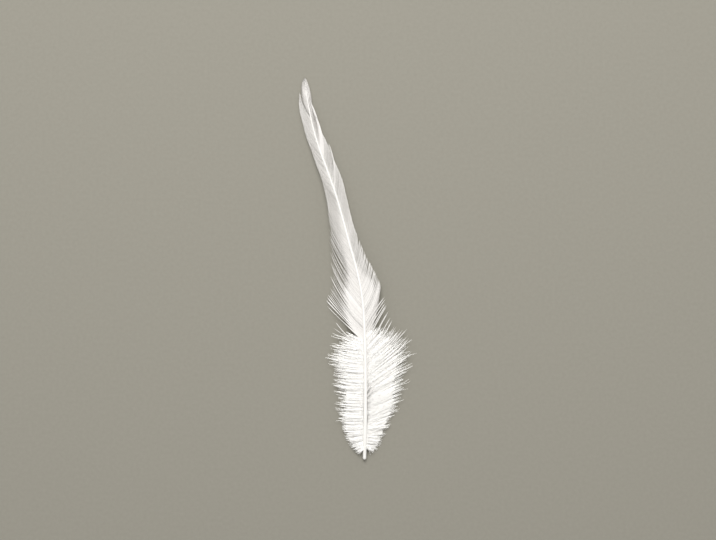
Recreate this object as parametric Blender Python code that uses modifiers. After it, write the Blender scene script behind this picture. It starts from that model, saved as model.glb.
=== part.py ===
"""A slim white bird's feather with a downy base, lying on its flattened underside.

The frame: +X to the right and +Y from the quill end to the tip, seen from above, and +Z up.
The origin is at the middle of the feather's box, on the surface that it lies on. Lengths
below are in millimetres and MM turns them to metres. Plan places are (across, along) from
the quill end, and a distance along the shaft starts at the quill end too.

The feather is one closed piece: a tapered shaft, a vane of locks on each side of it, and
tufts of down round its lower third. Each lock follows the barbs that it stands for.
"""
import math

import bmesh
import bpy
import numpy as np

MM = 0.001

# The shaft's route in plan, its height above the surface and its radius, by distance from the end
QUILL_END = (3.56, -79.0)
SHAFT_PLAN = [(0.0, 0.0), (0.4, 25.0), (0.1, 50.0), (-0.3, 60.0), (-1.4, 70.0), (-3.6, 80.0), (-6.4, 90.0),
              (-9.1, 100.0), (-12.0, 110.0), (-15.5, 120.0), (-19.1, 130.0), (-21.9, 140.0), (-23.8, 150.0),
              (-24.7, 158.0)]
SHAFT_HEIGHT = [(0, 1.7), (10, 2.7), (25, 3.4), (50, 3.9), (75, 4.0), (100, 3.5), (125, 2.5), (145, 1.3), (161, 0.3)]
SHAFT_RADIUS = [(0, 0.78), (25, 0.75), (50, 0.68), (80, 0.55), (120, 0.46), (156, 0.40)]
SHAFT_END = 156.0
SHAFT_STEP = 6.0

# Barbs: distance of the root along the shaft, length, angle to the shaft at the root and at the tip
VANE_LEFT = [(48.4, 21.0, 47, 44), (49.6, 22.9, 45, 42), (51.0, 23.5, 44, 34), (53.5, 23.8, 45, 27),
             (56.5, 23.8, 46, 22), (59.5, 25.2, 43, 16), (62, 26.2, 38, 16), (66, 25.6, 36, 14), (70.3, 25.0, 33, 12),
             (75, 22.4, 30, 11), (80, 20.0, 28, 10), (90, 16.4, 27, 9), (100, 13.1, 27, 12), (112, 10.8, 28, 13),
             (124, 10.3, 28, 11), (134, 11.0, 28, 9), (138, 13.0, 27, 1), (144.2, 13.4, 18, -6), (150, 11.3, 0, 0)]
VANE_RIGHT = [(48.4, 20.6, 30, 13), (52, 20.0, 33, 13), (55, 18.6, 36, 13), (58, 17.2, 37, 14), (61, 15.8, 38, 15),
              (66, 13.7, 39, 16), (74, 10.8, 36, 20), (84, 9.8, 32, 18), (94, 10.2, 28, 15), (104, 11.8, 29, 14),
              (116, 11.2, 28, 14), (124, 11.0, 28, 13), (130, 11.4, 27, 9), (136, 11.6, 25, 4), (140, 11.4, 22, 3),
              (144, 11.9, 16, 1), (150, 11.3, 0, 0)]
# Tufts of down. The upper ones on the right also stand for the free strands below the vane.
DOWN_LEFT = [(5, 5.5, 122, 118), (8, 7.5, 105, 95), (14, 10.0, 96, 86), (20, 12.0, 93, 82), (28, 12.7, 90, 80),
             (36, 13.5, 88, 78), (44, 16.0, 84, 76), (47.5, 15.5, 82, 78), (50.5, 9.8, 72, 58)]
DOWN_RIGHT = [(5, 5.2, 118, 114), (8, 7.2, 86, 84), (14, 13.0, 70, 80), (20, 17.5, 62, 74), (26, 21.5, 56, 68),
              (32, 26.5, 46, 54), (38, 24.5, 36, 38), (44, 21.5, 27, 33), (50.5, 17.5, 28, 37)]

# Share of a lock's length, from the shaft, over which it is joined to its neighbours
SPLIT_LEFT = [(48, 0.25), (62, 0.36), (78, 0.50), (90, 0.75), (100, 0.88), (134, 0.88), (140, 0.60), (150, 0.88)]
SPLIT_RIGHT = [(48, 0.88), (110, 0.88), (124, 0.75), (138, 0.62), (150, 0.88)]
LONGEST_SPLIT = 0.88

VANE_THICKNESS = 0.5
VANE_CROWN = 0.40
VANE_LOWEST = 0.3
DROOP_REACH = 16.0
LOCKS_A_SIDE = 20
LOCK_ROWS = 8
LOCK_COLUMNS = 2
LOCK_TIP_SHARE = 0.14
LOCK_TAPER_POWER = 1.6
LOCK_CROWN_START = 0.15

TUFTS_A_SIDE = 17
TUFT_RADIUS = 2.3
TUFT_TIP_RADIUS = 0.2
TUFT_POINTS = 7
TUFT_SINK = 1.0
TUFT_ROOT_OVERLAP = 1.3
TUFT_ROOT_SHARE = 0.62
TUFT_END_POWERS = (3.0, 0.8)
TUFT_FALL_POWER = 1.5
# A tuft this long or longer has its full radius, and a shorter one is slimmer
FULL_TUFT_LENGTH = 12.0
SHORT_TUFT_SHARE = 0.45
# What neighbouring tufts do in turn: height of the end, rise of the middle, and share of the full length
TUFT_HABITS = [(1.3, 1.5, 1.0), (3.8, 0.3, 0.93), (0.6, 2.1, 0.98), (2.9, 0.9, 1.0), (1.9, -0.3, 0.90)]

BELLY_START = 5.0
BELLY_END = 49.0
BELLY_HALF_WIDTH = 6.0
BELLY_HALF_HEIGHT = 2.3
BELLY_SINK = 2.1

FLOOR_BLOCK = (80.0, 200.0, 10.0)


def smooth_value(knots, at):
    """Value of a table of (place, value, ...) rows at a place, on a smooth curve through the rows."""
    rows = np.asarray(knots, dtype=float)
    places = rows[:, 0]
    values = rows[:, 1:]
    slopes = np.gradient(values, places, axis=0)
    at = min(max(at, places[0]), places[-1])
    i = min(int(np.searchsorted(places, at, side="right")) - 1, len(places) - 2)
    step = places[i + 1] - places[i]
    t = (at - places[i]) / step
    low = (2 * t**3 - 3 * t**2 + 1) * values[i] + (t**3 - 2 * t**2 + t) * step * slopes[i]
    high = (3 * t**2 - 2 * t**3) * values[i + 1] + (t**3 - t**2) * step * slopes[i + 1]
    return low + high


def shaft_table(samples=1200):
    """Distances along the shaft and the plan points at them."""
    rows = [(along, across) for across, along in SHAFT_PLAN]
    along = np.linspace(0.0, SHAFT_PLAN[-1][1], samples)
    across = np.array([smooth_value(rows, a)[0] for a in along])
    points = np.stack([across, along], axis=1)
    steps = np.linalg.norm(np.diff(points, axis=0), axis=1)
    return np.concatenate([[0.0], np.cumsum(steps)]), points


SHAFT_DISTANCES, SHAFT_POINTS = shaft_table()


def shaft_plan(distance):
    """Plan point of the shaft's centre line and its direction there."""
    def place(at):
        return np.array([np.interp(at, SHAFT_DISTANCES, SHAFT_POINTS[:, axis]) for axis in (0, 1)])

    ahead = place(distance + 0.3) - place(distance - 0.3)
    return place(distance), ahead / np.linalg.norm(ahead)


def shaft_height(distance):
    return float(smooth_value(SHAFT_HEIGHT, distance)[0])


def barb_path(table, side, distance, fractions):
    """Points of a barb at fractions of its length, with how far each is ahead of its root and out
    from the shaft. side is 1 on the left of the shaft and -1 on its right."""
    length, root_angle, tip_angle = smooth_value(table, distance)
    root, ahead = shaft_plan(distance)
    out = side * np.array([-ahead[1], ahead[0]])
    fine = 40
    middles = (np.arange(fine) + 0.5) / fine
    angles = np.radians(root_angle + (tip_angle - root_angle) * middles)
    forward = np.concatenate([[0.0], np.cumsum(np.cos(angles))]) * length / fine
    outward = np.concatenate([[0.0], np.cumsum(np.sin(angles))]) * length / fine
    grid = np.linspace(0.0, 1.0, fine + 1)
    forward = np.interp(fractions, grid, forward)
    outward = np.interp(fractions, grid, outward)
    plan = root + forward[:, None] * ahead + outward[:, None] * out
    return plan, forward, outward


def world(plan, height):
    return ((plan[0] + QUILL_END[0]) * MM, (plan[1] + QUILL_END[1]) * MM, height * MM)


def vane_point(table, side, distance, fraction, crown):
    """A point of the vane's middle surface, which droops away from the shaft."""
    plan, forward, outward = barb_path(table, side, distance, np.array([fraction]))
    height = shaft_height(distance + forward[0]) * (1.0 - (outward[0] / DROOP_REACH) ** 2)
    return world(plan[0], max(height, VANE_LOWEST) + crown)


def lock_share(fraction, split):
    """Share of its full breadth that a lock keeps at a fraction of its length."""
    if fraction <= split:
        return 1.0
    past = (fraction - split) / (1.0 - split)
    return 1.0 - (1.0 - LOCK_TIP_SHARE) * past ** LOCK_TAPER_POWER


def add_lock(mesh, table, side, start, end, split):
    """One lock of the vane as a ridged strip from the shaft to its pointed end."""
    middle = 0.5 * (start + end)
    rows = []
    for row in range(LOCK_ROWS + 1):
        fraction = row / LOCK_ROWS
        half = 0.5 * (end - start) * lock_share(fraction, split)
        points = []
        for column in range(LOCK_COLUMNS + 1):
            across = 2.0 * column / LOCK_COLUMNS - 1.0
            swell = math.sin(math.pi * min(fraction + LOCK_CROWN_START, 1.0))
            crown = VANE_CROWN * (1.0 - across * across) * swell
            points.append(mesh.verts.new(vane_point(table, side, middle + across * half, fraction, crown)))
        rows.append(points)
    for low, high in zip(rows[:-1], rows[1:]):
        for column in range(LOCK_COLUMNS):
            corners = (low[column], low[column + 1], high[column + 1], high[column])
            mesh.faces.new(corners if side < 0 else corners[::-1])


def make_vane(collection):
    """Both vanes as one sheet of locks with a thickness."""
    mesh = bmesh.new()
    for table, side, splits in ((VANE_LEFT, 1, SPLIT_LEFT), (VANE_RIGHT, -1, SPLIT_RIGHT)):
        bounds = np.linspace(table[0][0], table[-1][0], LOCKS_A_SIDE + 1)
        for start, end in zip(bounds[:-1], bounds[1:]):
            split = float(smooth_value(splits, 0.5 * (start + end))[0])
            reaches_tip = end == bounds[-1]
            add_lock(mesh, table, side, start, end, 1.0 if reaches_tip else min(split, LONGEST_SPLIT))
    bmesh.ops.remove_doubles(mesh, verts=mesh.verts[:], dist=0.02 * MM)
    data = bpy.data.meshes.new("feather")
    mesh.to_mesh(data)
    mesh.free()
    vane = bpy.data.objects.new("feather", data)
    collection.objects.link(vane)
    sheet = vane.modifiers.new("Vane thickness", "SOLIDIFY")
    sheet.thickness = VANE_THICKNESS * MM
    sheet.offset = 0.0
    return vane


def tube(name, points, radii, resolution, collection):
    """A closed tube through the points, as a mesh object."""
    curve = bpy.data.curves.new(name, "CURVE")
    curve.dimensions = "3D"
    curve.bevel_depth = 1.0 * MM
    curve.bevel_resolution = resolution
    curve.use_fill_caps = True
    spline = curve.splines.new("POLY")
    spline.points.add(len(points) - 1)
    for point, place, radius in zip(spline.points, points, radii):
        point.co = (*place, 1.0)
        point.radius = radius
    bent = bpy.data.objects.new(name + " curve", curve)
    collection.objects.link(bent)
    bpy.context.view_layer.update()
    graph = bpy.context.evaluated_depsgraph_get()
    data = bpy.data.meshes.new_from_object(bent.evaluated_get(graph))
    mesh = bmesh.new()
    mesh.from_mesh(data)
    bmesh.ops.remove_doubles(mesh, verts=mesh.verts[:], dist=0.005 * MM)
    bmesh.ops.recalc_face_normals(mesh, faces=mesh.faces[:])
    mesh.to_mesh(data)
    mesh.free()
    solid = bpy.data.objects.new(name, data)
    solid.matrix_world = bent.matrix_world
    collection.objects.link(solid)
    bpy.data.objects.remove(bent)
    return solid


def make_shaft(collection):
    distances = np.linspace(0.0, SHAFT_END, round(SHAFT_END / SHAFT_STEP) + 1)
    points = [world(shaft_plan(d)[0], shaft_height(d)) for d in distances]
    radii = [float(smooth_value(SHAFT_RADIUS, d)[0]) for d in distances]
    return tube("shaft", points, radii, 2, collection)


def make_tuft(name, table, side, distance, habit, collection):
    """One tuft of down, full near the shaft and drawn out to a fine end."""
    tip_height, rise, share = habit
    fractions = np.linspace(0.0, 1.0, TUFT_POINTS)
    plan, forward, _ = barb_path(table, side, distance, fractions * share)
    leaving = plan[1] - plan[0]
    plan[0] -= TUFT_ROOT_OVERLAP * leaving / np.linalg.norm(leaving)
    length = float(smooth_value(table, distance)[0])
    fullness = TUFT_RADIUS * min(1.0, SHORT_TUFT_SHARE + (1.0 - SHORT_TUFT_SHARE) * length / FULL_TUFT_LENGTH)
    points = []
    radii = []
    for fraction, place, ahead in zip(fractions, plan, forward):
        root_height = shaft_height(distance + ahead) - TUFT_SINK
        arch = rise * math.sin(math.pi * fraction)
        fall = (tip_height - root_height) * fraction ** TUFT_FALL_POWER
        points.append(world(place, root_height + fall + arch))
        swell = TUFT_ROOT_SHARE + (1.0 - TUFT_ROOT_SHARE) * math.sin(math.pi * fraction)
        narrowing = (1.0 - fraction ** TUFT_END_POWERS[0]) ** TUFT_END_POWERS[1]
        radii.append(TUFT_TIP_RADIUS + (fullness - TUFT_TIP_RADIUS) * swell * narrowing)
    return tube(name, points, radii, 1, collection)


def make_down(collection):
    """Tufts on both sides of the shaft, over the dense belly of down that they grow from."""
    for table, side, word in ((DOWN_LEFT, 1, "left"), (DOWN_RIGHT, -1, "right")):
        roots = np.linspace(table[0][0], table[-1][0], TUFTS_A_SIDE)
        for number, distance in enumerate(roots):
            habit = TUFT_HABITS[(number * side) % len(TUFT_HABITS)]
            make_tuft(f"tuft {word} {number + 1}", table, side, distance, habit, collection)


def make_belly(collection):
    """The dense down round the shaft, a long low mound."""
    middle = 0.5 * (BELLY_START + BELLY_END)
    mesh = bmesh.new()
    bmesh.ops.create_uvsphere(mesh, u_segments=16, v_segments=10, radius=1.0)
    for vert in mesh.verts:
        distance = middle + vert.co.y * 0.5 * (BELLY_END - BELLY_START)
        place, _ = shaft_plan(distance)
        plan = (place[0] + vert.co.x * BELLY_HALF_WIDTH, place[1])
        vert.co = world(plan, shaft_height(distance) - BELLY_SINK + vert.co.z * BELLY_HALF_HEIGHT)
    data = bpy.data.meshes.new("belly")
    mesh.to_mesh(data)
    mesh.free()
    belly = bpy.data.objects.new("belly", data)
    collection.objects.link(belly)
    return belly


def make_floor_block():
    """The block that flattens the underside where the down lies on the surface."""
    bpy.ops.mesh.primitive_cube_add(size=1.0, location=(0.0, 0.0, -0.5 * FLOOR_BLOCK[2] * MM))
    block = bpy.context.active_object
    block.name = "surface block"
    for vert in block.data.vertices:
        vert.co = [value * size * MM for value, size in zip(vert.co, FLOOR_BLOCK)]
    for owner in list(block.users_collection):
        owner.objects.unlink(block)
    return block


def hide(guide):
    guide.hide_render = True
    guide.display_type = "WIRE"


def add_boolean(target, name, operation, other=None, group=None):
    step = target.modifiers.new(name, "BOOLEAN")
    step.operation = operation
    step.solver = "EXACT"
    if group is not None:
        step.operand_type = "COLLECTION"
        step.collection = group
    else:
        step.object = other


def keratin():
    """Warm white, slightly silky keratin."""
    material = bpy.data.materials.new("White keratin")
    material.use_nodes = True
    shader = material.node_tree.nodes["Principled BSDF"]
    shader.inputs["Base Color"].default_value = (0.86, 0.85, 0.81, 1.0)
    shader.inputs["Roughness"].default_value = 0.7
    shader.inputs["Metallic"].default_value = 0.0
    return material


def build():
    for old in list(bpy.data.objects):
        bpy.data.objects.remove(old)
    scene = bpy.context.scene
    parts = bpy.data.collections.new("White feather")
    guides = bpy.data.collections.new("Feather guides")
    growth = bpy.data.collections.new("Feather growth")
    scene.collection.children.link(parts)
    scene.collection.children.link(guides)
    guides.children.link(growth)

    feather = make_vane(parts)
    make_shaft(growth)
    make_belly(growth)
    make_down(growth)
    block = make_floor_block()
    guides.objects.link(block)
    for guide in list(growth.objects) + [block]:
        hide(guide)

    add_boolean(feather, "Shaft and down", "UNION", group=growth)
    add_boolean(feather, "Flat underside", "DIFFERENCE", other=block)
    feather.data.materials.append(keratin())


build()
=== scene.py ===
"""A slim white feather with a downy base, lying outer face up on a pale studio floor.

The shaft, the barbs of both vanes and the down are mesh in place of the solid. The shaft has the
solid's route and heights, and the barbs follow the photo more closely than the solid's locks and
tufts do. Lengths are in millimetres until MM turns them to metres. Plan places are (across, along)
from the quill end. Left and right are as the camera sees them.
"""
import math

import bpy
import numpy as np
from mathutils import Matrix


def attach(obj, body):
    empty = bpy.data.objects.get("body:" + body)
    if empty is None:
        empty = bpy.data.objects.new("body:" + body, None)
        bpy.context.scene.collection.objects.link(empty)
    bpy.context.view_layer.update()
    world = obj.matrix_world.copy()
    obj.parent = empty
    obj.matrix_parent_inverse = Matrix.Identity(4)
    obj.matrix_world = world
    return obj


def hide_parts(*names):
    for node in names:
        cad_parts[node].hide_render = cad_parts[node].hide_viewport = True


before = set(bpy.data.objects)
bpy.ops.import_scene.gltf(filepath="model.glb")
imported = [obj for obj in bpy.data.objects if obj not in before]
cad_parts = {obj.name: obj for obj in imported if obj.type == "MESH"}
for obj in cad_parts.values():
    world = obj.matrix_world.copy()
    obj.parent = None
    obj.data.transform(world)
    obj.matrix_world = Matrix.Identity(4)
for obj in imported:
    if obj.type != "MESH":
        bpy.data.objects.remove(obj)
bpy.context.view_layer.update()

MM = 0.001
LEFT = 1
RIGHT = -1

# The shaft's route in plan, and its height above the surface and radius by distance from its end
QUILL_END = (3.56, -79.0)
SHAFT_PLAN = [(0.0, 0.0), (0.4, 25.0), (0.1, 50.0), (-0.3, 60.0), (-1.4, 70.0), (-3.6, 80.0),
              (-6.4, 90.0), (-9.1, 100.0), (-12.0, 110.0), (-15.5, 120.0), (-19.1, 130.0),
              (-21.9, 140.0), (-23.8, 150.0), (-24.7, 158.0)]
SHAFT_HEIGHT = [(0, 1.7), (10, 2.7), (25, 3.4), (50, 3.9), (75, 4.0), (100, 3.5), (125, 2.5),
                (145, 1.3), (161, 0.3)]
SHAFT_RADIUS = [(0, 0.70), (4, 0.78), (25, 0.75), (50, 0.66), (80, 0.50), (120, 0.34), (150, 0.16),
                (160, 0.06)]
# Its length, rows of points along it, points round it, and the length that its round end takes
SHAFT_LENGTH = 161.2
SHAFT_ROWS = 260
SHAFT_AROUND = 24
QUILL_ROUNDNESS = 0.6
# The groove below it: distances over which it deepens, half width in radians, and depth as a share
# of the radius. Then the shaft's height as a share of its width
GROOVE_DEEPENS = (12.0, 40.0)
GROOVE_TURN = 0.35
GROOVE_DEPTH = 0.45
SHAFT_OVALNESS = 0.94

# Barbs: distance of the root along the shaft, length, angle to the shaft at the root and at the tip
VANE = {
    LEFT: [(48.4, 21.0, 47, 44), (49.6, 22.9, 45, 42), (51.0, 23.5, 44, 34), (53.5, 23.8, 45, 27),
           (56.5, 23.8, 46, 22), (59.5, 25.2, 43, 16), (62, 26.2, 38, 16), (66, 25.6, 36, 14),
           (70.3, 25.0, 33, 12), (75, 22.4, 30, 11), (80, 20.0, 28, 10), (90, 16.4, 27, 9),
           (100, 13.1, 27, 12), (112, 10.8, 28, 13), (124, 10.3, 28, 11), (134, 11.0, 28, 9),
           (138, 12.9, 28, 2), (141, 13.2, 27, -3), (145.0, 12.0, 25, -5)],
    RIGHT: [(48.4, 22.4, 31, 5), (52, 20.8, 34, 7), (55, 19.0, 36, 10), (58, 17.2, 37, 13),
            (61, 15.8, 38, 15), (66, 13.7, 39, 16), (74, 10.8, 36, 20), (84, 9.8, 32, 18),
            (94, 10.2, 28, 15), (104, 11.8, 29, 14), (116, 11.2, 28, 14), (123, 11.0, 28, 13),
            (127, 11.0, 26, 10), (130, 11.0, 23, 7), (134, 11.0, 21, 4), (140, 11.0, 20, 0),
            (144, 9.4, 19, -4)],
}
# The blade at the tip, whose barbs all run to the point
BLADE = {
    LEFT: [(145.6, 16.0, 27, -27), (148, 13.6, 31, -31), (152, 9.9, 36, -35), (156, 6.0, 34, -32),
           (159.4, 2.6, 24, -22)],
    RIGHT: [(143.0, 18.9, 24, -23), (148, 13.9, 33, -33), (152, 10.0, 37, -36), (156, 6.0, 36, -34),
            (159.4, 2.6, 26, -24)],
}
# The down has rows of the same kind, and so have the thin wisps that stray from it
DOWN = {
    LEFT: [(5.2, 4.2, 138, 146), (7, 5.8, 118, 116), (10, 8.0, 104, 98), (14, 10.2, 96, 86),
           (20, 11.8, 93, 82), (28, 12.6, 90, 80), (36, 13.0, 88, 78), (40, 13.8, 86, 76),
           (44, 12.6, 82, 74), (47, 10.4, 78, 68), (50, 8.8, 74, 60)],
    RIGHT: [(5.4, 4.2, 122, 128), (7, 5.6, 106, 104), (10, 7.6, 86, 84), (14, 11.6, 66, 72),
            (20, 16.0, 60, 70), (26, 19.4, 56, 66), (32, 21.6, 53, 56), (38, 19.4, 50, 46),
            (44, 13.6, 50, 42), (48, 9.0, 46, 38), (51, 5.4, 44, 36)],
}
WISPS = {
    LEFT: [(38, 15.6, 90, 74), (40.5, 16.2, 87, 72), (42, 15.6, 86, 80), (44, 15.4, 84, 74),
           (46, 15.0, 82, 84), (47.6, 15.2, 72, 70), (30, 13.6, 92, 80), (17, 12.0, 98, 84)],
    RIGHT: [(19.8, 14.6, 84, 94), (19, 17.0, 64, 76), (24, 20.2, 60, 74), (29, 22.0, 58, 70),
            (33, 23.4, 54, 70), (36, 23.4, 52, 64)],
}
# Free strands: root distance, length, angle at the root and at the tip, number of barbs, lift of the end
STRANDS = {
    LEFT: [(46.0, 17.1, 60, 33, 2, 0.3), (47.2, 15.0, 66, 52, 1, 0.1)],
    RIGHT: [(54.4, 15.6, 30, 38, 3, 0.4), (52.6, 16.8, 29, 37, 2, 0.1), (50.6, 17.4, 28, 37, 2, 0.3),
            (48.4, 18.6, 26, 36, 2, 0.0), (46.0, 20.6, 22, 34, 3, 0.4), (42.0, 22.6, 22, 32, 4, 0.5),
            (40.0, 22.4, 28, 31, 2, 0.1), (38.0, 23.4, 31, 29, 3, 0.4), (36.6, 23.0, 35, 32, 2, 0.1),
            (35.4, 24.2, 38, 28, 4, 0.4), (34.2, 24.8, 36, 36, 3, 0.2), (33.0, 26.6, 34, 40, 3, 0.4),
            (31.0, 30.0, 28, 46, 3, 0.3), (29.6, 28.4, 34, 44, 2, 0.5), (28.0, 29.4, 36, 42, 4, 0.3),
            (25.6, 28.0, 42, 48, 3, 0.4), (130.6, 23.0, 24, -10, 5, 0.4), (129.0, 21.6, 25, -8, 5, 0.2),
            (127.6, 19.4, 26, -5, 5, 0.1), (114.0, 19.8, 28, -3, 4, 0.4)],
}
# Locks that stand out, by root distance: from, to, where its barbs gather, share of their length
# where it parts from its neighbours, how far they gather at the end, lift of its end, its reach
LOCKS = {
    LEFT: [(48.4, 49.2, 48.8, 0.16, 0.78, 0.2, 1.0), (49.2, 50.0, 49.6, 0.18, 0.78, 0.0, 1.0),
           (50.0, 50.8, 50.4, 0.20, 0.78, 0.4, 1.0), (50.8, 51.6, 51.2, 0.22, 0.78, 0.1, 1.0),
           (51.6, 52.5, 52.0, 0.36, 0.40, 0.2, 0.96), (52.5, 53.4, 53.0, 0.34, 0.74, 0.3, 1.0),
           (53.4, 54.6, 54.0, 0.38, 0.30, 0.1, 0.92), (54.6, 55.5, 55.2, 0.40, 0.30, 0.0, 0.94),
           (55.5, 57.5, 57.0, 0.28, 0.74, 0.8, 1.0), (57.5, 58.4, 58.1, 0.42, 0.30, 0.0, 0.92),
           (58.4, 59.2, 58.9, 0.42, 0.30, 0.0, 0.90), (59.2, 61.0, 60.6, 0.32, 0.70, 0.5, 1.0),
           (61.0, 61.9, 61.6, 0.44, 0.30, 0.0, 0.90), (61.9, 64.4, 63.8, 0.32, 0.66, 0.7, 1.0),
           (64.4, 66.4, 66.0, 0.38, 0.52, 0.3, 0.97), (66.4, 70.0, 68.9, 0.26, 0.62, 0.3, 1.0),
           (70.0, 72.8, 72.3, 0.22, 0.70, 0.7, 1.0), (72.8, 75.4, 74.6, 0.44, 0.40, 0.3, 0.98),
           (75.4, 78.2, 77.6, 0.36, 0.54, 0.4, 1.0), (78.2, 81.0, 80.2, 0.54, 0.34, 0.1, 0.98),
           (81.0, 84.0, 83.4, 0.46, 0.42, 0.2, 1.0), (84.0, 87.0, 86.2, 0.60, 0.28, 0.1, 0.98),
           (87.0, 90.0, 89.4, 0.58, 0.34, 0.1, 1.0), (90.0, 93.6, 92.6, 0.70, 0.24, 0.1, 1.0),
           (130.0, 145.0, 140.0, 0.80, 0.06, 0.1, 1.0)],
    RIGHT: [(60.0, 62.2, 61.9, 0.60, 0.14, 0.1, 1.0), (62.2, 64.6, 64.2, 0.50, 0.20, 0.1, 1.0),
            (64.6, 66.8, 66.4, 0.60, 0.14, 0.1, 1.0), (66.8, 69.2, 68.8, 0.50, 0.24, 0.2, 1.0),
            (69.2, 71.2, 70.8, 0.62, 0.16, 0.1, 1.0), (71.2, 73.8, 73.4, 0.52, 0.28, 0.2, 1.0),
            (73.8, 76.4, 75.9, 0.62, 0.22, 0.1, 1.0), (76.4, 79.0, 78.5, 0.66, 0.34, 0.2, 1.0),
            (80.0, 82.2, 81.6, 0.72, 0.45, 0.4, 1.0), (82.2, 85.4, 84.8, 0.68, 0.45, 0.2, 1.0),
            (114.6, 118.8, 118.4, 0.42, 0.66, 0.1, 1.0)],
}
# How locks that aren't marked lie: range of width, of parting, of gathering and of lift
QUIET_LOCKS = {
    LEFT: ((1.2, 3.6), (0.80, 0.97), (0.08, 0.30), (-0.05, 0.12)),
    RIGHT: ((1.6, 4.4), (0.84, 0.97), (0.04, 0.18), (-0.05, 0.10)),
}
BLADE_LOCKS = ((1.6, 3.0), (0.50, 0.80), (0.05, 0.25), (-0.05, 0.12))

# Barbs of the vane: spacing of the roots, somewhat wider than real so that single barbs show, rows
# of points along one, least height, and how far out from the shaft the vane would meet the surface
BARB_SPACING = 0.5
BARB_ROWS = 27
BARB_FLATTEST = 0.28
DROOP_REACH = 16.0
# A barb's ramus: width, height above and below the web, and the width of barb at which it is full.
# The web's edges sag below its middle
RAMUS_WIDTH = 0.10
RAMUS_RISE = 0.09
RAMUS_DEPTH = 0.07
RAMUS_FULL_AT = 0.3
WEB_SAG = 0.02
# Barbs of the free strands: width, and how far apart they lie side by side
STRAND_BARB_WIDTH = 0.20
STRAND_BARB_PITCH = 0.15
# How uneven barbs are: share of the length, place of the end along the shaft, share of the web, height
UNEVEN_LENGTH = 0.010
UNEVEN_PLACE = 0.12
UNEVEN_WEB = 0.08
UNEVEN_HEIGHT = 0.04
# Share of the room between barbs that their web closes: in the open parts of the vane, where it is
# dense, in the blade, and where barbs cling together, and how much of it goes where the vane frays
WEB_OPEN = 0.76
WEB_CLOSED = 0.97
WEB_BLADE = 0.86
WEB_CLINGING = 0.94
WEB_FRAYED = 0.24
# Between these distances along the shaft the vane turns frayed towards the quill, and its edge turns
# whole towards the tip
FRAYING = {LEFT: (91.0, 82.0), RIGHT: (84.0, 76.0)}
WHOLE_EDGE = {LEFT: (92.0, 102.0), RIGHT: (60.0, 70.0)}
# How far out from the shaft the web is dense, by distance along the shaft
WEB_DENSE = {
    LEFT: [(60, 13.0), (72, 7.0), (79, 4.6), (86, 3.2), (96, 1.9), (107, 0.3)],
    RIGHT: [(60, 12.0), (72, 6.6), (76, 2.6), (82, 0.4)],
}

# Barbs of the down: spacing of the roots, rows of points along one, radius of its ramus
DOWN_SPACING = 0.13
DOWN_ROWS = 13
DOWN_RAMUS = 0.05
# Soft locks of the down: width at the roots, share of the way that their barbs draw together, and
# how far locks rise or fall
DOWN_LOCK = 1.4
DOWN_LOCK_DRAW = 0.08
DOWN_LOCK_LIFT = 0.08
# How far barbs of the down stray along the shaft, wave, and fan out up and down, and the least
# height of anything in it
DOWN_STRAY = 0.42
DOWN_WAVE = 0.11
DOWN_FAN = 1.35
DOWN_LOWEST = 0.12
# How far the down sinks beside the shaft in the lower half of its length
TRENCH = {LEFT: 1.0, RIGHT: 2.9}
# Root distances between which the down turns to the short, dense tufts of its foot, and the power
# that crowds the roots of the lower piece towards it. Then how much less fringe it has, and how much
# further its dense mass reaches
DOWN_FOOT = (30.0, 10.0)
FOOT_CROWDING = 1.25
FOOT_FRINGE_LOSS = 0.7
FOOT_DENSE_REACH = 0.20
# Root distance at which the down of each side is parted in two pieces
DOWN_PARTING = {LEFT: 28.0, RIGHT: 31.0}
# Share of the down's barbs that stand out from the dense mass as its fringe
FRINGE_SHARE = 0.58
# Share of the full length at which barbs of the fringe and of the dense mass end, from and to
FRINGE_REACH = (0.84, 1.05)
DENSE_REACH = {LEFT: (0.58, 0.82), RIGHT: (0.68, 0.95)}
# Barbules: about how many a piece of down has, and their radius and length. Real ones are about
# 0.01 mm thick, and these are coarser, or they wouldn't show. At the end of a barb they lean further
# forward and are shorter. Barbs of the fringe and the wisps have a share of the dense mass's number
BARBULES_A_PIECE = 42000
BARBULE_RADIUS = 0.03
BARBULE_LENGTH = (0.6, 1.7)
BARBULE_LEAN = 3.0
BARBULE_TAPER = 0.84
FRINGE_FULLNESS = 0.5
WISP_FULLNESS = 0.5
# Lobes of the inner down: spacing, half width and half height, depth below the shaft's height, how
# far below the highest barbs of the down they stop, and how much further they reach at its foot
BED_PITCH = 1.0
BED_HALF_WIDTH = 1.5
BED_HALF_HEIGHT = 0.8
BED_DEPTH = 0.9
BED_SHORT = 4.0
BED_FOOT = (27.0, 10.0)
BED_FOOT_REACH = 0.22

# Share of its cell's width that a strand's strip takes in the map
STRIP_SHARE = 0.86
# Turns of the corners of three-sided rami and barbules
THREE_TURNS = (0.0, 2.0 * math.pi / 3.0, 4.0 * math.pi / 3.0)


# Curves through measured rows

def smooth_value(knots, at):
    """Values of a table of (place, value, ...) rows at places, on smooth curves through the rows."""
    rows = np.asarray(knots, dtype=float)
    places = rows[:, 0]
    values = rows[:, 1:]
    slopes = np.gradient(values, places, axis=0)
    at = np.clip(np.asarray(at, dtype=float), places[0], places[-1])
    i = np.clip(np.searchsorted(places, at, side="right") - 1, 0, len(places) - 2)
    step = (places[i + 1] - places[i])[..., None]
    t = (at - places[i])[..., None] / step
    low = (2 * t**3 - 3 * t**2 + 1) * values[i] + (t**3 - 2 * t**2 + t) * step * slopes[i]
    high = (3 * t**2 - 2 * t**3) * values[i + 1] + (t**3 - t**2) * step * slopes[i + 1]
    return low + high


def smooth_step(low, high, at):
    """Rises smoothly from 0 at low to 1 at high. With low above high it falls instead."""
    t = np.clip((at - low) / (high - low), 0.0, 1.0)
    return t * t * (3.0 - 2.0 * t)


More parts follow.
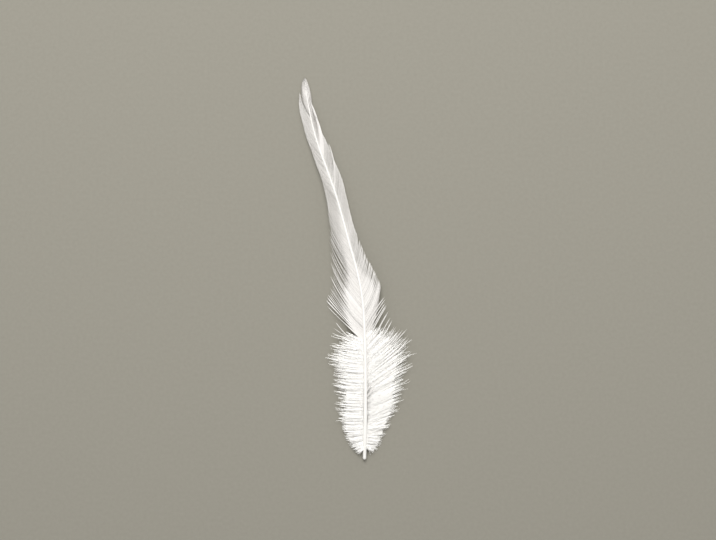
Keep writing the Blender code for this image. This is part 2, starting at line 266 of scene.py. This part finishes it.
def shaft_table():
    """Distances along the shaft and the plan points at them."""
    samples = 1600
    rows = [(along, across) for across, along in SHAFT_PLAN]
    along = np.linspace(0.0, SHAFT_PLAN[-1][1], samples)
    points = np.stack([smooth_value(rows, along)[:, 0], along], axis=1)
    steps = np.linalg.norm(np.diff(points, axis=0), axis=1)
    return np.concatenate([[0.0], np.cumsum(steps)]), points


SHAFT_DISTANCES, SHAFT_POINTS = shaft_table()


def shaft_plan(distance):
    """Plan points of the shaft's centre line and its direction there."""
    def place(at):
        return np.stack([np.interp(at, SHAFT_DISTANCES, SHAFT_POINTS[:, axis]) for axis in (0, 1)], axis=-1)

    distance = np.asarray(distance, dtype=float)
    ahead = place(distance + 0.3) - place(distance - 0.3)
    return place(distance), ahead / np.linalg.norm(ahead, axis=-1, keepdims=True)


def shaft_height(distance):
    return smooth_value(SHAFT_HEIGHT, distance)[..., 0]


def to_world(plan, height):
    """Plan points and heights in millimetres to places in metres."""
    return np.concatenate([plan + np.array(QUILL_END), height[..., None]], axis=-1) * MM


def bent_paths(side, roots, length, root_angle, tip_angle, rows):
    """Barbs that bend evenly from one angle to the other: their plan points, the distance along
    the shaft beside each point and its distance out from the shaft."""
    middles = (np.arange(rows - 1) + 0.5) / (rows - 1)
    angles = np.radians(root_angle[:, None] + (tip_angle - root_angle)[:, None] * middles)
    step = (length / (rows - 1))[:, None]
    forward = np.pad(np.cumsum(np.cos(angles) * step, axis=1), ((0, 0), (1, 0)))
    outward = np.pad(np.cumsum(np.sin(angles) * step, axis=1), ((0, 0), (1, 0)))
    place, ahead = shaft_plan(roots)
    out = side * np.stack([-ahead[:, 1], ahead[:, 0]], axis=1)
    plan = place[:, None] + forward[..., None] * ahead[:, None] + outward[..., None] * out[:, None]
    return plan, roots[:, None] + forward, outward


def beside(plan):
    """Unit plan directions across paths of plan points."""
    heading = np.gradient(plan, axis=1)
    heading = heading / np.linalg.norm(heading, axis=2, keepdims=True)
    return np.stack([-heading[..., 1], heading[..., 0]], axis=-1)


class BarbField:
    """The paths that barbs of one side follow, for any root distance and share of their length."""
    ROOTS = 300
    SHARES = 65

    def __init__(self, table, side):
        self.first = table[0][0]
        self.last = table[-1][0]
        distance = np.linspace(self.first, self.last, self.ROOTS)
        length, root_angle, tip_angle = smooth_value(table, distance).T
        plan, along, outward = bent_paths(side, distance, length, root_angle, tip_angle, self.SHARES)
        self.grid = np.concatenate([plan, along[..., None], outward[..., None]], axis=2)

    def at(self, root, share):
        """Plan place, distance along the shaft beside it and distance out from the shaft.
        Past the field's ends and past a barb's full length the path is carried on straight."""
        row = (np.asarray(root, dtype=float) - self.first) / (self.last - self.first) * (self.ROOTS - 1)
        column = np.asarray(share, dtype=float) * (self.SHARES - 1)
        i = np.clip(np.floor(row).astype(int), 0, self.ROOTS - 2)
        j = np.clip(np.floor(column).astype(int), 0, self.SHARES - 2)
        a = (row - i)[..., None]
        b = (column - j)[..., None]
        grid = self.grid
        low = grid[i, j] * (1 - a) + grid[i + 1, j] * a
        high = grid[i, j + 1] * (1 - a) + grid[i + 1, j + 1] * a
        value = low * (1 - b) + high * b
        return value[..., :2], value[..., 2], value[..., 3]


# Meshes from rings of points

def ring_mesh(name, rings, smooth=True):
    """Closed strands lofted through rings. rings is (strands, rows, points of a ring, 3).
    Each strand gets its own strip of the map OFBake."""
    strands, rows, around, _ = rings.shape
    vertex = np.arange(strands * rows * around).reshape(strands, rows, around)
    ahead = np.roll(vertex, -1, axis=2)
    sides = np.stack([vertex[:, :-1], ahead[:, :-1], ahead[:, 1:], vertex[:, 1:]], axis=-1)
    starts = vertex[:, 0, ::-1]
    ends = vertex[:, -1]
    mesh = bpy.data.meshes.new(name)
    faces = sides.reshape(-1, 4).tolist() + starts.tolist() + ends.tolist()
    mesh.from_pydata(rings.reshape(-1, 3).tolist(), [], faces)

    columns = math.ceil(math.sqrt(strands * 4.0))
    cells = math.ceil(strands / columns)
    cell = np.arange(strands)
    left = (cell % columns) / columns
    foot = (cell // columns) / cells
    width = STRIP_SHARE / columns
    across = np.linspace(0.0, width, around + 1)
    along = np.linspace(0.02, 0.98, rows) / cells
    corner_across = np.stack([across[:-1], across[1:], across[1:], across[:-1]], axis=-1)
    corner_along = np.stack([along[:-1], along[:-1], along[1:], along[1:]], axis=-1)[:, None]
    u = left[:, None, None, None] + corner_across
    v = foot[:, None, None, None] + corner_along
    side_map = np.stack(np.broadcast_arrays(u, v), axis=-1)
    turn = np.linspace(0.0, 2.0 * math.pi, around, endpoint=False)
    cap = np.stack([np.cos(turn), np.sin(turn)], axis=-1) * 0.4 * width
    cap_map = np.stack([left, foot], axis=-1)[:, None] + np.zeros((strands, around, 2))
    cap_map = cap_map + np.array([0.5 * width, 0.01 / cells]) + cap * [1.0, 0.02]
    layer = mesh.uv_layers.new(name="OFBake")
    corners = np.concatenate([side_map.reshape(-1), cap_map.reshape(-1), cap_map.reshape(-1)])
    layer.uv.foreach_set("vector", corners.astype(np.float32))
    mesh.polygons.foreach_set("use_smooth", np.full(len(mesh.polygons), smooth))
    return mesh


def map_faces(mesh):
    """Gives every face its own small cell of the map OFBake."""
    sizes = np.empty(len(mesh.polygons), dtype=np.int32)
    mesh.polygons.foreach_get("loop_total", sizes)
    cells = math.ceil(math.sqrt(len(sizes)))
    owner = np.repeat(np.arange(len(sizes)), sizes)
    number = np.arange(len(owner)) - np.repeat(np.cumsum(sizes) - sizes, sizes)
    turn = 2.0 * math.pi * (number + 0.5) / sizes[owner]
    across = owner % cells + 0.5 + 0.4 * np.cos(turn)
    along = owner // cells + 0.5 + 0.4 * np.sin(turn)
    layer = mesh.uv_layers.new(name="OFBake")
    corners = np.stack([across, along], axis=1) / cells
    layer.uv.foreach_set("vector", corners.reshape(-1).astype(np.float32))


def add_object(name, mesh, material):
    piece = bpy.data.objects.new(name, mesh)
    bpy.context.scene.collection.objects.link(piece)
    mesh.materials.append(material)
    return piece


# The vanes

def all_locks(first, last, marked, habit, rng):
    """The marked locks, and others of uneven width by habit that fill the vane between them."""
    widths, partings, pulls, lifts = habit
    locks = []
    place = first
    for lock in list(marked) + [(last, last)]:
        while lock[0] - place > 1e-6:
            end = min(place + rng.uniform(*widths), lock[0])
            if lock[0] - end < widths[0]:
                end = lock[0]
            gather = place + (end - place) * rng.uniform(0.55, 0.95)
            habits = [rng.uniform(*limits) for limits in (partings, pulls, lifts)]
            locks.append((place, end, gather, *habits, 1.0))
            place = end
        if lock[1] > lock[0]:
            locks.append(lock)
            place = lock[1]
    return locks


def barb_roots(locks, rng):
    """Root distances of the barbs with the lock that each belongs to."""
    roots = []
    owners = []
    for number, (start, end, *_) in enumerate(locks):
        count = max(2, round((end - start) / BARB_SPACING))
        places = start + (np.arange(count) + 0.5) / count * (end - start)
        roots.extend(places + rng.uniform(-0.05, 0.05, count))
        owners.extend([number] * count)
    return np.array(roots), np.array(owners)


def web_cover(side, along, outward, share):
    """Share of the room between neighbouring barbs that their hooked barbules close."""
    frayed = smooth_step(*FRAYING[side], along)
    if side == LEFT:
        frayed = frayed * (1.0 + 0.3 * smooth_step(80.0, 72.0, along))
    else:
        frayed = 0.3 * frayed
    dense = smooth_value(WEB_DENSE[side], along)[..., 0]
    near_shaft = smooth_step(1.3 * dense + 1.0, 0.6 * dense - 0.6, outward)
    rim = smooth_step(*WHOLE_EDGE[side], along) * smooth_step(0.84, 0.93, share)
    closed = WEB_OPEN + (WEB_CLOSED - WEB_OPEN) * np.maximum(near_shaft, rim)
    return closed - WEB_FRAYED * frayed * (1.0 - near_shaft)


def barb_rings(side, table, marked, habit, cover, rng):
    """Barbs of one part of a vane. Each is a ridged strip: a ramus with a web of barbules at each
    side. cover is the web's share of the room between them, or None where it varies."""
    field = BarbField(table, side)
    locks = all_locks(field.first, field.last, marked, habit, rng)
    roots, owners = barb_roots(locks, rng)
    count = len(roots)
    start, end, gather, parting, pull, lift, reach = np.array(locks)[owners].T
    off_middle = np.abs(roots - gather) / (0.5 * (end - start))
    reach = reach * (1.0 - 0.10 * pull * off_middle**1.5) * (1.0 + rng.normal(0.0, UNEVEN_LENGTH, count))
    part = np.linspace(0.0, 1.0, BARB_ROWS)[None, :]
    share = part * reach[:, None]
    parted = parting[:, None]
    free = smooth_step(parted, parted + 0.55 * (1.0 - parted) + 0.05, share)
    drawn = pull[:, None] * free
    root = roots[:, None] + (gather - roots)[:, None] * drawn
    root = root + rng.normal(0.0, UNEVEN_PLACE, count)[:, None] * free
    plan, along, outward = field.at(root, share)
    evenness = rng.normal(1.0, UNEVEN_WEB, count)[:, None]
    closed = cover if cover else web_cover(side, along, outward, part)
    closed = closed + (WEB_CLINGING - closed) * np.clip(3.0 * (drawn - 0.30), 0.0, 1.0)
    half = 0.5 * BARB_SPACING * (1.0 - 0.85 * drawn) * np.minimum(closed * evenness, 0.99)
    half = half * (1.0 - 0.9 * smooth_step(0.93, 1.0, part))
    low_side, _, _ = field.at(root - half, share)
    high_side, _, _ = field.at(root + half, share)
    droop = 1.0 - (outward / DROOP_REACH) ** 2
    height = np.maximum(shaft_height(along) * droop, BARB_FLATTEST)
    height = height + lift[:, None] * free + rng.normal(0.0, UNEVEN_HEIGHT, count)[:, None] * share
    return ridged_strips(side, plan, low_side, high_side, height, part)


def ridged_strips(side, plan, low_side, high_side, height, part):
    """Rings of strips between two side lines: thin at the sides, with the ramus along the middle."""
    across = high_side - low_side
    width = np.linalg.norm(across, axis=-1, keepdims=True)
    unit = across / np.maximum(width, 1e-6)
    ridge = np.minimum(0.5 * RAMUS_WIDTH, 0.3 * width) * (1.0 - 0.5 * part[..., None])
    thin = (1.0 - 0.5 * part) * np.minimum(1.0, 0.08 + width[..., 0] / RAMUS_FULL_AT)
    ring = [to_world(low_side, height - WEB_SAG),
            to_world(plan - ridge * unit, height + 0.6 * RAMUS_RISE * thin),
            to_world(plan, height + RAMUS_RISE * thin),
            to_world(plan + ridge * unit, height + 0.6 * RAMUS_RISE * thin),
            to_world(high_side, height - WEB_SAG),
            to_world(plan, height - RAMUS_DEPTH * thin)]
    rings = np.stack(ring, axis=2)
    return rings[:, :, ::-1] if side == LEFT else rings


def strand_rings(side, rng):
    """Free strands of one to five barbs side by side, which cling together towards the end."""
    table = np.array(STRANDS[side], dtype=float)
    number = table[:, 4].astype(int)
    roots, length, root_angle, tip_angle, _, lift = np.repeat(table, number, axis=0).T
    place = np.concatenate([np.arange(n) - 0.5 * (n - 1) for n in number])
    length = length * (1.0 - 0.035 * np.abs(place) - rng.uniform(0.0, 0.03, len(roots)))
    plan, along, outward = bent_paths(side, roots, length, root_angle, tip_angle, BARB_ROWS)
    part = np.linspace(0.0, 1.0, BARB_ROWS)[None, :]
    across = side * beside(plan)
    offset = place[:, None] * STRAND_BARB_PITCH * (1.6 - 1.1 * part)
    plan = plan + offset[..., None] * across
    half = 0.5 * STRAND_BARB_WIDTH * (1.0 - 0.35 * part) * (1.0 - 0.9 * smooth_step(0.9, 1.0, part))
    droop = 1.0 - (outward / (1.4 * DROOP_REACH)) ** 2
    height = np.maximum(shaft_height(along) * droop, BARB_FLATTEST) + lift[:, None] * part
    height = height + rng.normal(0.0, UNEVEN_HEIGHT, len(roots))[:, None]
    low_side = plan - half[..., None] * across
    high_side = plan + half[..., None] * across
    return ridged_strips(side, plan, low_side, high_side, height, part)


def vane_mesh(name, side, seed):
    """One side's vane, its share of the blade at the tip, and its free strands."""
    rng = np.random.default_rng(seed)
    parts = [barb_rings(side, VANE[side], LOCKS[side], QUIET_LOCKS[side], None, rng),
             barb_rings(side, BLADE[side], [], BLADE_LOCKS, WEB_BLADE, rng),
             strand_rings(side, rng)]
    return ring_mesh(name, np.concatenate(parts), smooth=False)


# The shaft

def shaft_mesh(name):
    """The shaft: an oval horn rod with a groove below, and the round end of the bare quill."""
    distance = SHAFT_LENGTH * np.linspace(0.0, 1.0, SHAFT_ROWS) ** 1.1
    plan, ahead = shaft_plan(distance)
    height = shaft_height(distance)
    radius = smooth_value(SHAFT_RADIUS, distance)[:, 0]
    from_end = np.clip(distance / QUILL_ROUNDNESS, 0.0, 1.0)
    radius = radius * np.sqrt(np.clip(1.0 - (1.0 - from_end) ** 2, 0.05, 1.0))
    out = np.stack([-ahead[:, 1], ahead[:, 0]], axis=1)
    turn = np.linspace(0.0, 2.0 * math.pi, SHAFT_AROUND, endpoint=False)
    below = np.exp(-((turn - 1.5 * math.pi) / GROOVE_TURN) ** 2)
    groove = smooth_step(*GROOVE_DEEPENS, distance)[:, None] * below[None, :]
    size = radius[:, None] * (1.0 - GROOVE_DEPTH * groove)
    sideways = size * np.cos(turn)
    upward = size * np.sin(turn) * SHAFT_OVALNESS
    points = plan[:, None] + sideways[..., None] * out[:, None]
    rings = to_world(points, height[:, None] + upward)
    return ring_mesh(name, rings[None, :, ::-1])


# The down

def shaft_trench(side, roots):
    """How far the down sinks beside the shaft at root distances."""
    return TRENCH[side] * smooth_step(12.0, 17.0, roots) * smooth_step(33.0, 26.0, roots)


def down_paths(side, first, last, rng):
    """Middle lines of downy barbs in soft locks, waved and fanned out up and down: plan points,
    heights and how full of barbules each barb is."""
    field = BarbField(DOWN[side], side)
    count = round((last - first) / DOWN_SPACING)
    crowding = FOOT_CROWDING if first == field.first else 1.0
    places = (np.arange(count) + rng.uniform(0.1, 0.9, count)) / count
    roots = first + places**crowding * (last - first)
    foot = smooth_step(*DOWN_FOOT, roots)
    fringe = rng.uniform(0.0, 1.0, count) < FRINGE_SHARE * (1.0 - FOOT_FRINGE_LOSS * foot)
    dense = rng.uniform(*DENSE_REACH[side], count) + FOOT_DENSE_REACH * foot
    length = np.where(fringe, rng.uniform(*FRINGE_REACH, count), dense)
    share = np.linspace(0.0, 1.0, DOWN_ROWS)[None, :] * length[:, None]
    lock = np.floor(roots / DOWN_LOCK)
    to_middle = ((lock + 0.5) * DOWN_LOCK - roots)[:, None]
    into_lock = to_middle * DOWN_LOCK_DRAW * smooth_step(0.1, 0.9, share)
    stray = rng.normal(0.0, DOWN_STRAY, count)[:, None] * share**1.5
    wave_start = rng.uniform(0.0, 6.3, count)[:, None]
    wave_turns = rng.uniform(3.0, 8.0, count)[:, None]
    wave = DOWN_WAVE * np.sin(wave_start + wave_turns * share)
    plan, along, _ = field.at(roots[:, None] + into_lock + stray + wave * share, share)
    fan = rng.uniform(-1.0, 1.0, count)[:, None]
    rise = np.sin(math.pi * np.clip(share * 0.9, 0, 1)) * (0.5 + DOWN_FAN * fan)
    rise = rise - 0.5 * np.exp(-share / 0.08) - shaft_trench(side, roots)[:, None] * np.exp(-share / 0.10)
    lock_lift = np.sin(lock * 2.4)[:, None] * DOWN_LOCK_LIFT * share
    height = shaft_height(along) * (1.0 - 0.60 * share**1.4) + rise + lock_lift
    return plan, np.maximum(height, DOWN_LOWEST + 0.3), np.where(fringe, FRINGE_FULLNESS, 1.0)


def wisp_paths(rows, side, rng):
    """Middle lines of the wisps, three loose barbs each."""
    roots, length, root_angle, tip_angle = np.repeat(np.array(rows, dtype=float), 3, axis=0).T
    count = len(roots)
    roots = roots + rng.normal(0.0, 0.5, count)
    length = length * rng.uniform(0.86, 1.02, count)
    tip_angle = tip_angle + rng.normal(0.0, 4.0, count)
    plan, _, _ = bent_paths(side, roots, length, root_angle, tip_angle, DOWN_ROWS)
    share = np.linspace(0.0, 1.0, DOWN_ROWS)[None, :]
    plan[..., 1] += 0.3 * share * np.sin(rng.uniform(0.0, 6.3, count)[:, None] + 9.0 * share)
    lift = rng.uniform(-0.4, 0.9, count)[:, None]
    height = shaft_height(roots)[:, None] * (1.0 - 0.5 * share) + lift * share
    return plan, np.maximum(height, DOWN_LOWEST + 0.3)


def down_bed_mesh(name, side, seed):
    """The dense inner down of one side: soft overlapping lobes under the loose barbs."""
    rng = np.random.default_rng(seed)
    field = BarbField(DOWN[side], side)
    rows = 20
    around = 14
    last = field.last - BED_SHORT
    count = round((last - field.first) / BED_PITCH)
    roots = field.first + (np.arange(count) + 0.5) / count * (last - field.first)
    roots = roots + rng.normal(0.0, 0.1, count)
    part = np.linspace(0.0, 1.0, rows)[None, :]
    reach = DENSE_REACH[side][0] + rng.uniform(0.0, 0.08, count)
    reach = reach + BED_FOOT_REACH * smooth_step(*BED_FOOT, roots)
    share = part * reach[:, None]
    plan, along, _ = field.at(roots[:, None] + rng.normal(0.0, 0.4, count)[:, None] * part, share)
    across = beside(plan)
    length = smooth_value(DOWN[side], roots)[:, 0]
    fullness = np.sqrt(np.clip(1.0 - part**3, 0.0, 1.0)) * np.minimum(1.0, 0.75 + part)
    wide = BED_HALF_WIDTH * fullness * np.minimum(0.35 + length / 12.0, 1.0)[:, None]
    thick = BED_HALF_HEIGHT * fullness * (1.0 - 0.45 * part) * np.minimum(length / 10.0, 1.0)[:, None]
    middle = shaft_height(along) * (1.0 - 0.62 * share**1.3) - BED_DEPTH
    middle = middle + rng.normal(0.0, 0.08, count)[:, None] * part
    trench = (0.6 + shaft_trench(side, roots)[:, None]) * np.exp(-share / 0.16)
    middle = np.maximum(middle - trench, thick + DOWN_LOWEST)
    turn = np.linspace(0.0, 2.0 * math.pi, around, endpoint=False)
    dent_start = rng.uniform(0.0, 6.3, count)[:, None, None]
    uneven = 1.0 + 0.10 * np.sin(3.0 * turn + dent_start + 7.0 * part[..., None])
    sideways = wide[..., None] * np.cos(turn) * uneven
    upward = thick[..., None] * np.sin(turn) * uneven
    points = plan[:, :, None] + sideways[..., None] * across[:, :, None]
    rings = to_world(points, middle[..., None] + upward)
    return ring_mesh(name, rings[:, :, ::-1])


def path_axes(path):
    """Directions ahead, flat across and up from paths of points."""
    ahead = np.gradient(path, axis=1)
    ahead = ahead / np.linalg.norm(ahead, axis=2, keepdims=True)
    flat = np.cross(ahead, [0.0, 0.0, 1.0])
    flat = flat / np.linalg.norm(flat, axis=2, keepdims=True)
    return ahead, flat, np.cross(flat, ahead)


def ramus_arrays(path, flat, up):
    """Vertices and faces of closed three-sided rami along paths, thinner towards their ends."""
    count, rows, _ = path.shape
    radius = DOWN_RAMUS * np.linspace(1.0, 0.35, rows)[None, :, None]
    corners = [path + radius * (math.cos(t) * flat + math.sin(t) * up) for t in THREE_TURNS]
    vertex = np.arange(count * rows * 3).reshape(count, rows, 3)
    next_one = np.roll(vertex, -1, axis=2)
    sides = np.stack([vertex[:, :-1], next_one[:, :-1], next_one[:, 1:], vertex[:, 1:]], axis=-1)
    caps = np.concatenate([vertex[:, 0, ::-1], vertex[:, -1]])
    return np.stack(corners, axis=2).reshape(-1, 3), sides.reshape(-1, 4).tolist() + caps.tolist()


def spike_arrays(root, tip, radius, side_hint):
    """Vertices and faces of thin closed three-sided spikes from root to tip."""
    axis = tip - root
    axis = axis / np.linalg.norm(axis, axis=1, keepdims=True)
    first = np.cross(axis, side_hint)
    first = first / np.maximum(np.linalg.norm(first, axis=1, keepdims=True), 1e-9)
    second = np.cross(axis, first)
    corners = [root + radius * (math.cos(t) * first + math.sin(t) * second) for t in THREE_TURNS]
    verts = np.stack(corners + [tip], axis=1)
    base = np.arange(len(root))[:, None, None] * 4
    faces = base + np.array([[0, 1, 3], [1, 2, 3], [2, 0, 3], [0, 2, 1]])
    return verts.reshape(-1, 3), faces.reshape(-1, 3)


def barbule_arrays(path, fullness, ahead, flat, up, rng):
    """Vertices and faces of the barbules that stand off all round the rami and lie along their ends."""
    rows = path.shape[1]
    lengths = np.linalg.norm(np.diff(path, axis=1), axis=2).sum(axis=1)
    weight = lengths * fullness
    owner = np.repeat(np.arange(len(path)), np.round(weight * BARBULES_A_PIECE / weight.sum()).astype(int))
    total = len(owner)
    place = rng.uniform(0.0, 1.0, total) ** 0.85 * (rows - 1)
    low = np.clip(place.astype(int), 0, rows - 2)
    part = (place - low)[:, None]
    root = path[owner, low] * (1 - part) + path[owner, low + 1] * part
    share = place / (rows - 1)
    turn = rng.uniform(0.0, 2.0 * math.pi, total)[:, None]
    lean = (rng.uniform(0.3, 1.0, total) + BARBULE_LEAN * share**2)[:, None]
    forward = ahead[owner, low]
    direction = np.cos(turn) * flat[owner, low] + 0.7 * np.sin(turn) * up[owner, low] + lean * forward
    direction = direction / np.linalg.norm(direction, axis=1, keepdims=True)
    reach = rng.uniform(*BARBULE_LENGTH, total) * (1.0 - BARBULE_TAPER * share**2)
    reach = reach * np.minimum(lengths[owner] / 9.0, 1.0)
    tip = root + direction * reach[:, None]
    tip[:, 2] = np.maximum(tip[:, 2] - 0.12 * reach**2, DOWN_LOWEST)
    return spike_arrays(root, tip, BARBULE_RADIUS, forward)


def down_mesh(name, side, first, last, seed):
    """Loose down of one side: fine rami with barbules standing off all round them."""
    rng = np.random.default_rng(seed)
    plan, height, fullness = down_paths(side, first, last, rng)
    wisps = [row for row in WISPS[side] if first <= row[0] < last]
    if wisps:
        wisp_plan, wisp_height = wisp_paths(wisps, side, rng)
        plan = np.concatenate([plan, wisp_plan])
        height = np.concatenate([height, wisp_height])
        fullness = np.concatenate([fullness, np.full(len(wisp_plan), WISP_FULLNESS)])
    path = np.concatenate([plan, height[..., None]], axis=-1)
    ahead, flat, up = path_axes(path)
    rami, ramus_faces = ramus_arrays(path, flat, up)
    barbules, barbule_faces = barbule_arrays(path, fullness, ahead, flat, up, rng)
    verts = np.concatenate([rami, barbules])
    verts[:, :2] += QUILL_END
    mesh = bpy.data.meshes.new(name)
    mesh.from_pydata((verts * MM).tolist(), [], ramus_faces + (barbule_faces + len(rami)).tolist())
    map_faces(mesh)
    return mesh


# Materials. Real keratin has a grain of a few hundredths of a millimetre, too fine to show, so the
# grains are drawn coarser. Their sizes, those of the shaft's streaks and the depths of relief are in
# millimetres
KERATIN_IOR = 1.54
VANE_GRAIN = 1.1
VANE_RELIEF = 0.03
DOWN_GRAIN = 4.0
DOWN_RELIEF = 0.01
INNER_DOWN_GRAIN = 0.9
INNER_DOWN_RELIEF = 0.06
STREAK_WIDTH = 0.45
STREAK_LENGTH = 8.0
STREAK_RELIEF = 0.03
# Clumps of fibres in the paper, about as long as one fibre
PAPER_GRAIN = 1.4
# Share of a barb's shade that the grain gives, where the rest is the barb's own
GRAIN_SHARE = 0.45


def linear(hex_colour):
    """An sRGB hex colour as linear RGBA."""
    parts = [int(hex_colour[i:i + 2], 16) / 255.0 for i in (1, 3, 5)]
    return tuple(c / 12.92 if c <= 0.04045 else ((c + 0.055) / 1.055) ** 2.4 for c in parts) + (1.0,)


def add_node(material, kind, settings=None, inputs=None):
    """Adds a node with its settings. An input takes a value, or (node, output) to link from."""
    node = material.node_tree.nodes.new(kind)
    for key, value in (settings or {}).items():
        setattr(node, key, value)
    for key, value in (inputs or {}).items():
        socket = node.inputs[key]
        if isinstance(value, tuple) and len(value) == 2 and isinstance(value[0], bpy.types.Node):
            material.node_tree.links.new(value[0].outputs[value[1]], socket)
        else:
            socket.default_value = value
    return node


def new_material(name):
    material = bpy.data.materials.new(name)
    material.use_nodes = True
    material.node_tree.nodes.clear()
    return material


def finish_material(material, shader):
    add_node(material, "ShaderNodeOutputMaterial", inputs={"Surface": (shader, 0)})
    return material


def streaked_keratin(name, dark, light, grain_length, roughness, relief_depth):
    """Feather keratin: each barb or barbule has its own shade between dark and light, with a grain."""
    material = new_material(name)
    place = add_node(material, "ShaderNodeTexCoord")
    strand = add_node(material, "ShaderNodeNewGeometry")
    grain = add_node(material, "ShaderNodeTexNoise", inputs={
        "Vector": (place, "Object"), "Scale": 1.0 / (grain_length * MM), "Detail": 3.0})
    shade = add_node(material, "ShaderNodeMix", {"data_type": "FLOAT"}, {
        0: GRAIN_SHARE, 2: (strand, "Random Per Island"), 3: (grain, "Fac")})
    tint = add_node(material, "ShaderNodeMix", {"data_type": "RGBA"}, {
        0: (shade, 0), 6: linear(dark), 7: linear(light)})
    relief = add_node(material, "ShaderNodeBump", inputs={
        "Strength": 0.25, "Distance": relief_depth * MM, "Height": (grain, "Fac")})
    shader = add_node(material, "ShaderNodeBsdfPrincipled", inputs={
        "Base Color": (tint, 2), "Roughness": roughness, "IOR": KERATIN_IOR, "Normal": (relief, "Normal")})
    return finish_material(material, shader)


def vane_keratin():
    """Vane keratin: dry barbs with hooked barbules, off-white with a slight silkiness."""
    return streaked_keratin("vane keratin", "#BCB9B5", "#D7D4D0", grain_length=VANE_GRAIN,
                            roughness=0.55, relief_depth=VANE_RELIEF)


def down_keratin():
    """Loose down: fine barbules with no hooks, the whitest part, with no gloss of its own."""
    return streaked_keratin("down keratin", "#FAF8F4", "#FFFEFC", grain_length=DOWN_GRAIN,
                            roughness=0.85, relief_depth=DOWN_RELIEF)


def inner_down_keratin():
    """Inner down: barbules packed so close that they read as one soft white mass."""
    return streaked_keratin("inner down keratin", "#E6E4E0", "#F0EEEA", grain_length=INNER_DOWN_GRAIN,
                            roughness=0.9, relief_depth=INNER_DOWN_RELIEF)


def shaft_keratin():
    """Shaft keratin: smooth horn, cream white, with faint streaks along it."""
    material = new_material("shaft keratin")
    place = add_node(material, "ShaderNodeTexCoord")
    across = 1.0 / (STREAK_WIDTH * MM)
    along = 1.0 / (STREAK_LENGTH * MM)
    stretch = add_node(material, "ShaderNodeMapping", inputs={
        "Vector": (place, "Object"), "Scale": (across, along, across)})
    streaks = add_node(material, "ShaderNodeTexNoise", inputs={
        "Vector": (stretch, "Vector"), "Scale": 1.0, "Detail": 3.0})
    tint = add_node(material, "ShaderNodeMix", {"data_type": "RGBA"}, {
        0: (streaks, "Fac"), 6: linear("#C8C6C1"), 7: linear("#D6D4D0")})
    relief = add_node(material, "ShaderNodeBump", inputs={
        "Strength": 0.2, "Distance": STREAK_RELIEF * MM, "Height": (streaks, "Fac")})
    shader = add_node(material, "ShaderNodeBsdfPrincipled", inputs={
        "Base Color": (tint, 2), "Roughness": 0.48, "IOR": KERATIN_IOR, "Normal": (relief, "Normal")})
    return finish_material(material, shader)


def studio_paper():
    """Studio paper: matt, plain warm grey, faintly mottled by its fibres."""
    material = new_material("studio paper")
    place = add_node(material, "ShaderNodeTexCoord")
    fibre = add_node(material, "ShaderNodeTexNoise", inputs={
        "Vector": (place, "Object"), "Scale": 1.0 / (PAPER_GRAIN * MM), "Detail": 4.0})
    tint = add_node(material, "ShaderNodeMix", {"data_type": "RGBA"}, {
        0: (fibre, "Fac"), 6: linear("#737066"), 7: linear("#7B786E")})
    shader = add_node(material, "ShaderNodeBsdfPrincipled", inputs={
        "Base Color": (tint, 2), "Roughness": 0.9})
    return finish_material(material, shader)


# Pieces

def keep(piece):
    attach(piece, "root")
    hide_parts("feather")


def make_feather():
    vane_look = vane_keratin()
    down_look = down_keratin()
    inner_look = inner_down_keratin()
    keep(add_object("shaft", shaft_mesh("shaft"), shaft_keratin()))
    for word, side, seed in (("left", LEFT, 11), ("right", RIGHT, 23)):
        name = f"vane_{word}"
        keep(add_object(name, vane_mesh(name, side, seed), vane_look))
        name = f"down_bed_{word}"
        keep(add_object(name, down_bed_mesh(name, side, seed + 2), inner_look))
        bounds = (DOWN[side][0][0], DOWN_PARTING[side], DOWN[side][-1][0])
        for part, first, last in zip(("lower", "upper"), bounds[:-1], bounds[1:]):
            seed += 5
            name = f"down_{word}_{part}"
            keep(add_object(name, down_mesh(name, side, first, last, seed), down_look))


# Studio, with its places and sizes in metres

FLOOR_SIZE = 2.4
LIGHT_PLACE = (-0.03, 0.55, 0.88)
LIGHT_SIZE = 0.6
LIGHT_WATTS = 14.5
ROOM_LIGHT = 0.74


def make_floor():
    bpy.ops.mesh.primitive_plane_add(size=FLOOR_SIZE)
    floor = bpy.context.active_object
    floor.name = "studio_floor"
    floor.data.materials.append(studio_paper())


def add_soft_light(name, place, size, watts):
    """A square lamp that shines at the feather's middle."""
    data = bpy.data.lights.new(name, "AREA")
    data.shape = "SQUARE"
    data.size = size
    data.energy = watts
    lamp = bpy.data.objects.new(name, data)
    lamp.location = place
    direction = -np.array(place)
    yaw = math.atan2(direction[0], -direction[1])
    tilt = math.atan2(math.hypot(direction[0], direction[1]), -direction[2])
    lamp.rotation_euler = (tilt, 0.0, yaw + math.pi)
    bpy.context.scene.collection.objects.link(lamp)


def make_studio():
    make_floor()
    add_soft_light("soft light above", LIGHT_PLACE, LIGHT_SIZE, LIGHT_WATTS)
    world = bpy.data.worlds.new("studio")
    world.use_nodes = True
    background = world.node_tree.nodes["Background"]
    background.inputs["Color"].default_value = linear("#FFFFFF")
    background.inputs["Strength"].default_value = ROOM_LIGHT
    bpy.context.scene.world = world
    bpy.context.scene.view_settings.view_transform = "Standard"


def make_camera():
    """Straight above, at the distance where the picture's 716 pixels span 295.9 mm at mid height."""
    lens = 100.0
    sensor = 36.0
    view_width = 295.9
    mid_height = 3.0
    view_middle = (0.87, -0.49)
    distance = view_width * lens / sensor
    data = bpy.data.cameras.new("camera")
    data.lens = lens
    data.sensor_width = sensor
    data.clip_start = 0.05
    camera = bpy.data.objects.new("camera", data)
    camera.location = (view_middle[0] * MM, view_middle[1] * MM, (distance + mid_height) * MM)
    bpy.context.scene.collection.objects.link(camera)
    bpy.context.scene.camera = camera


make_camera()
make_studio()
make_feather()
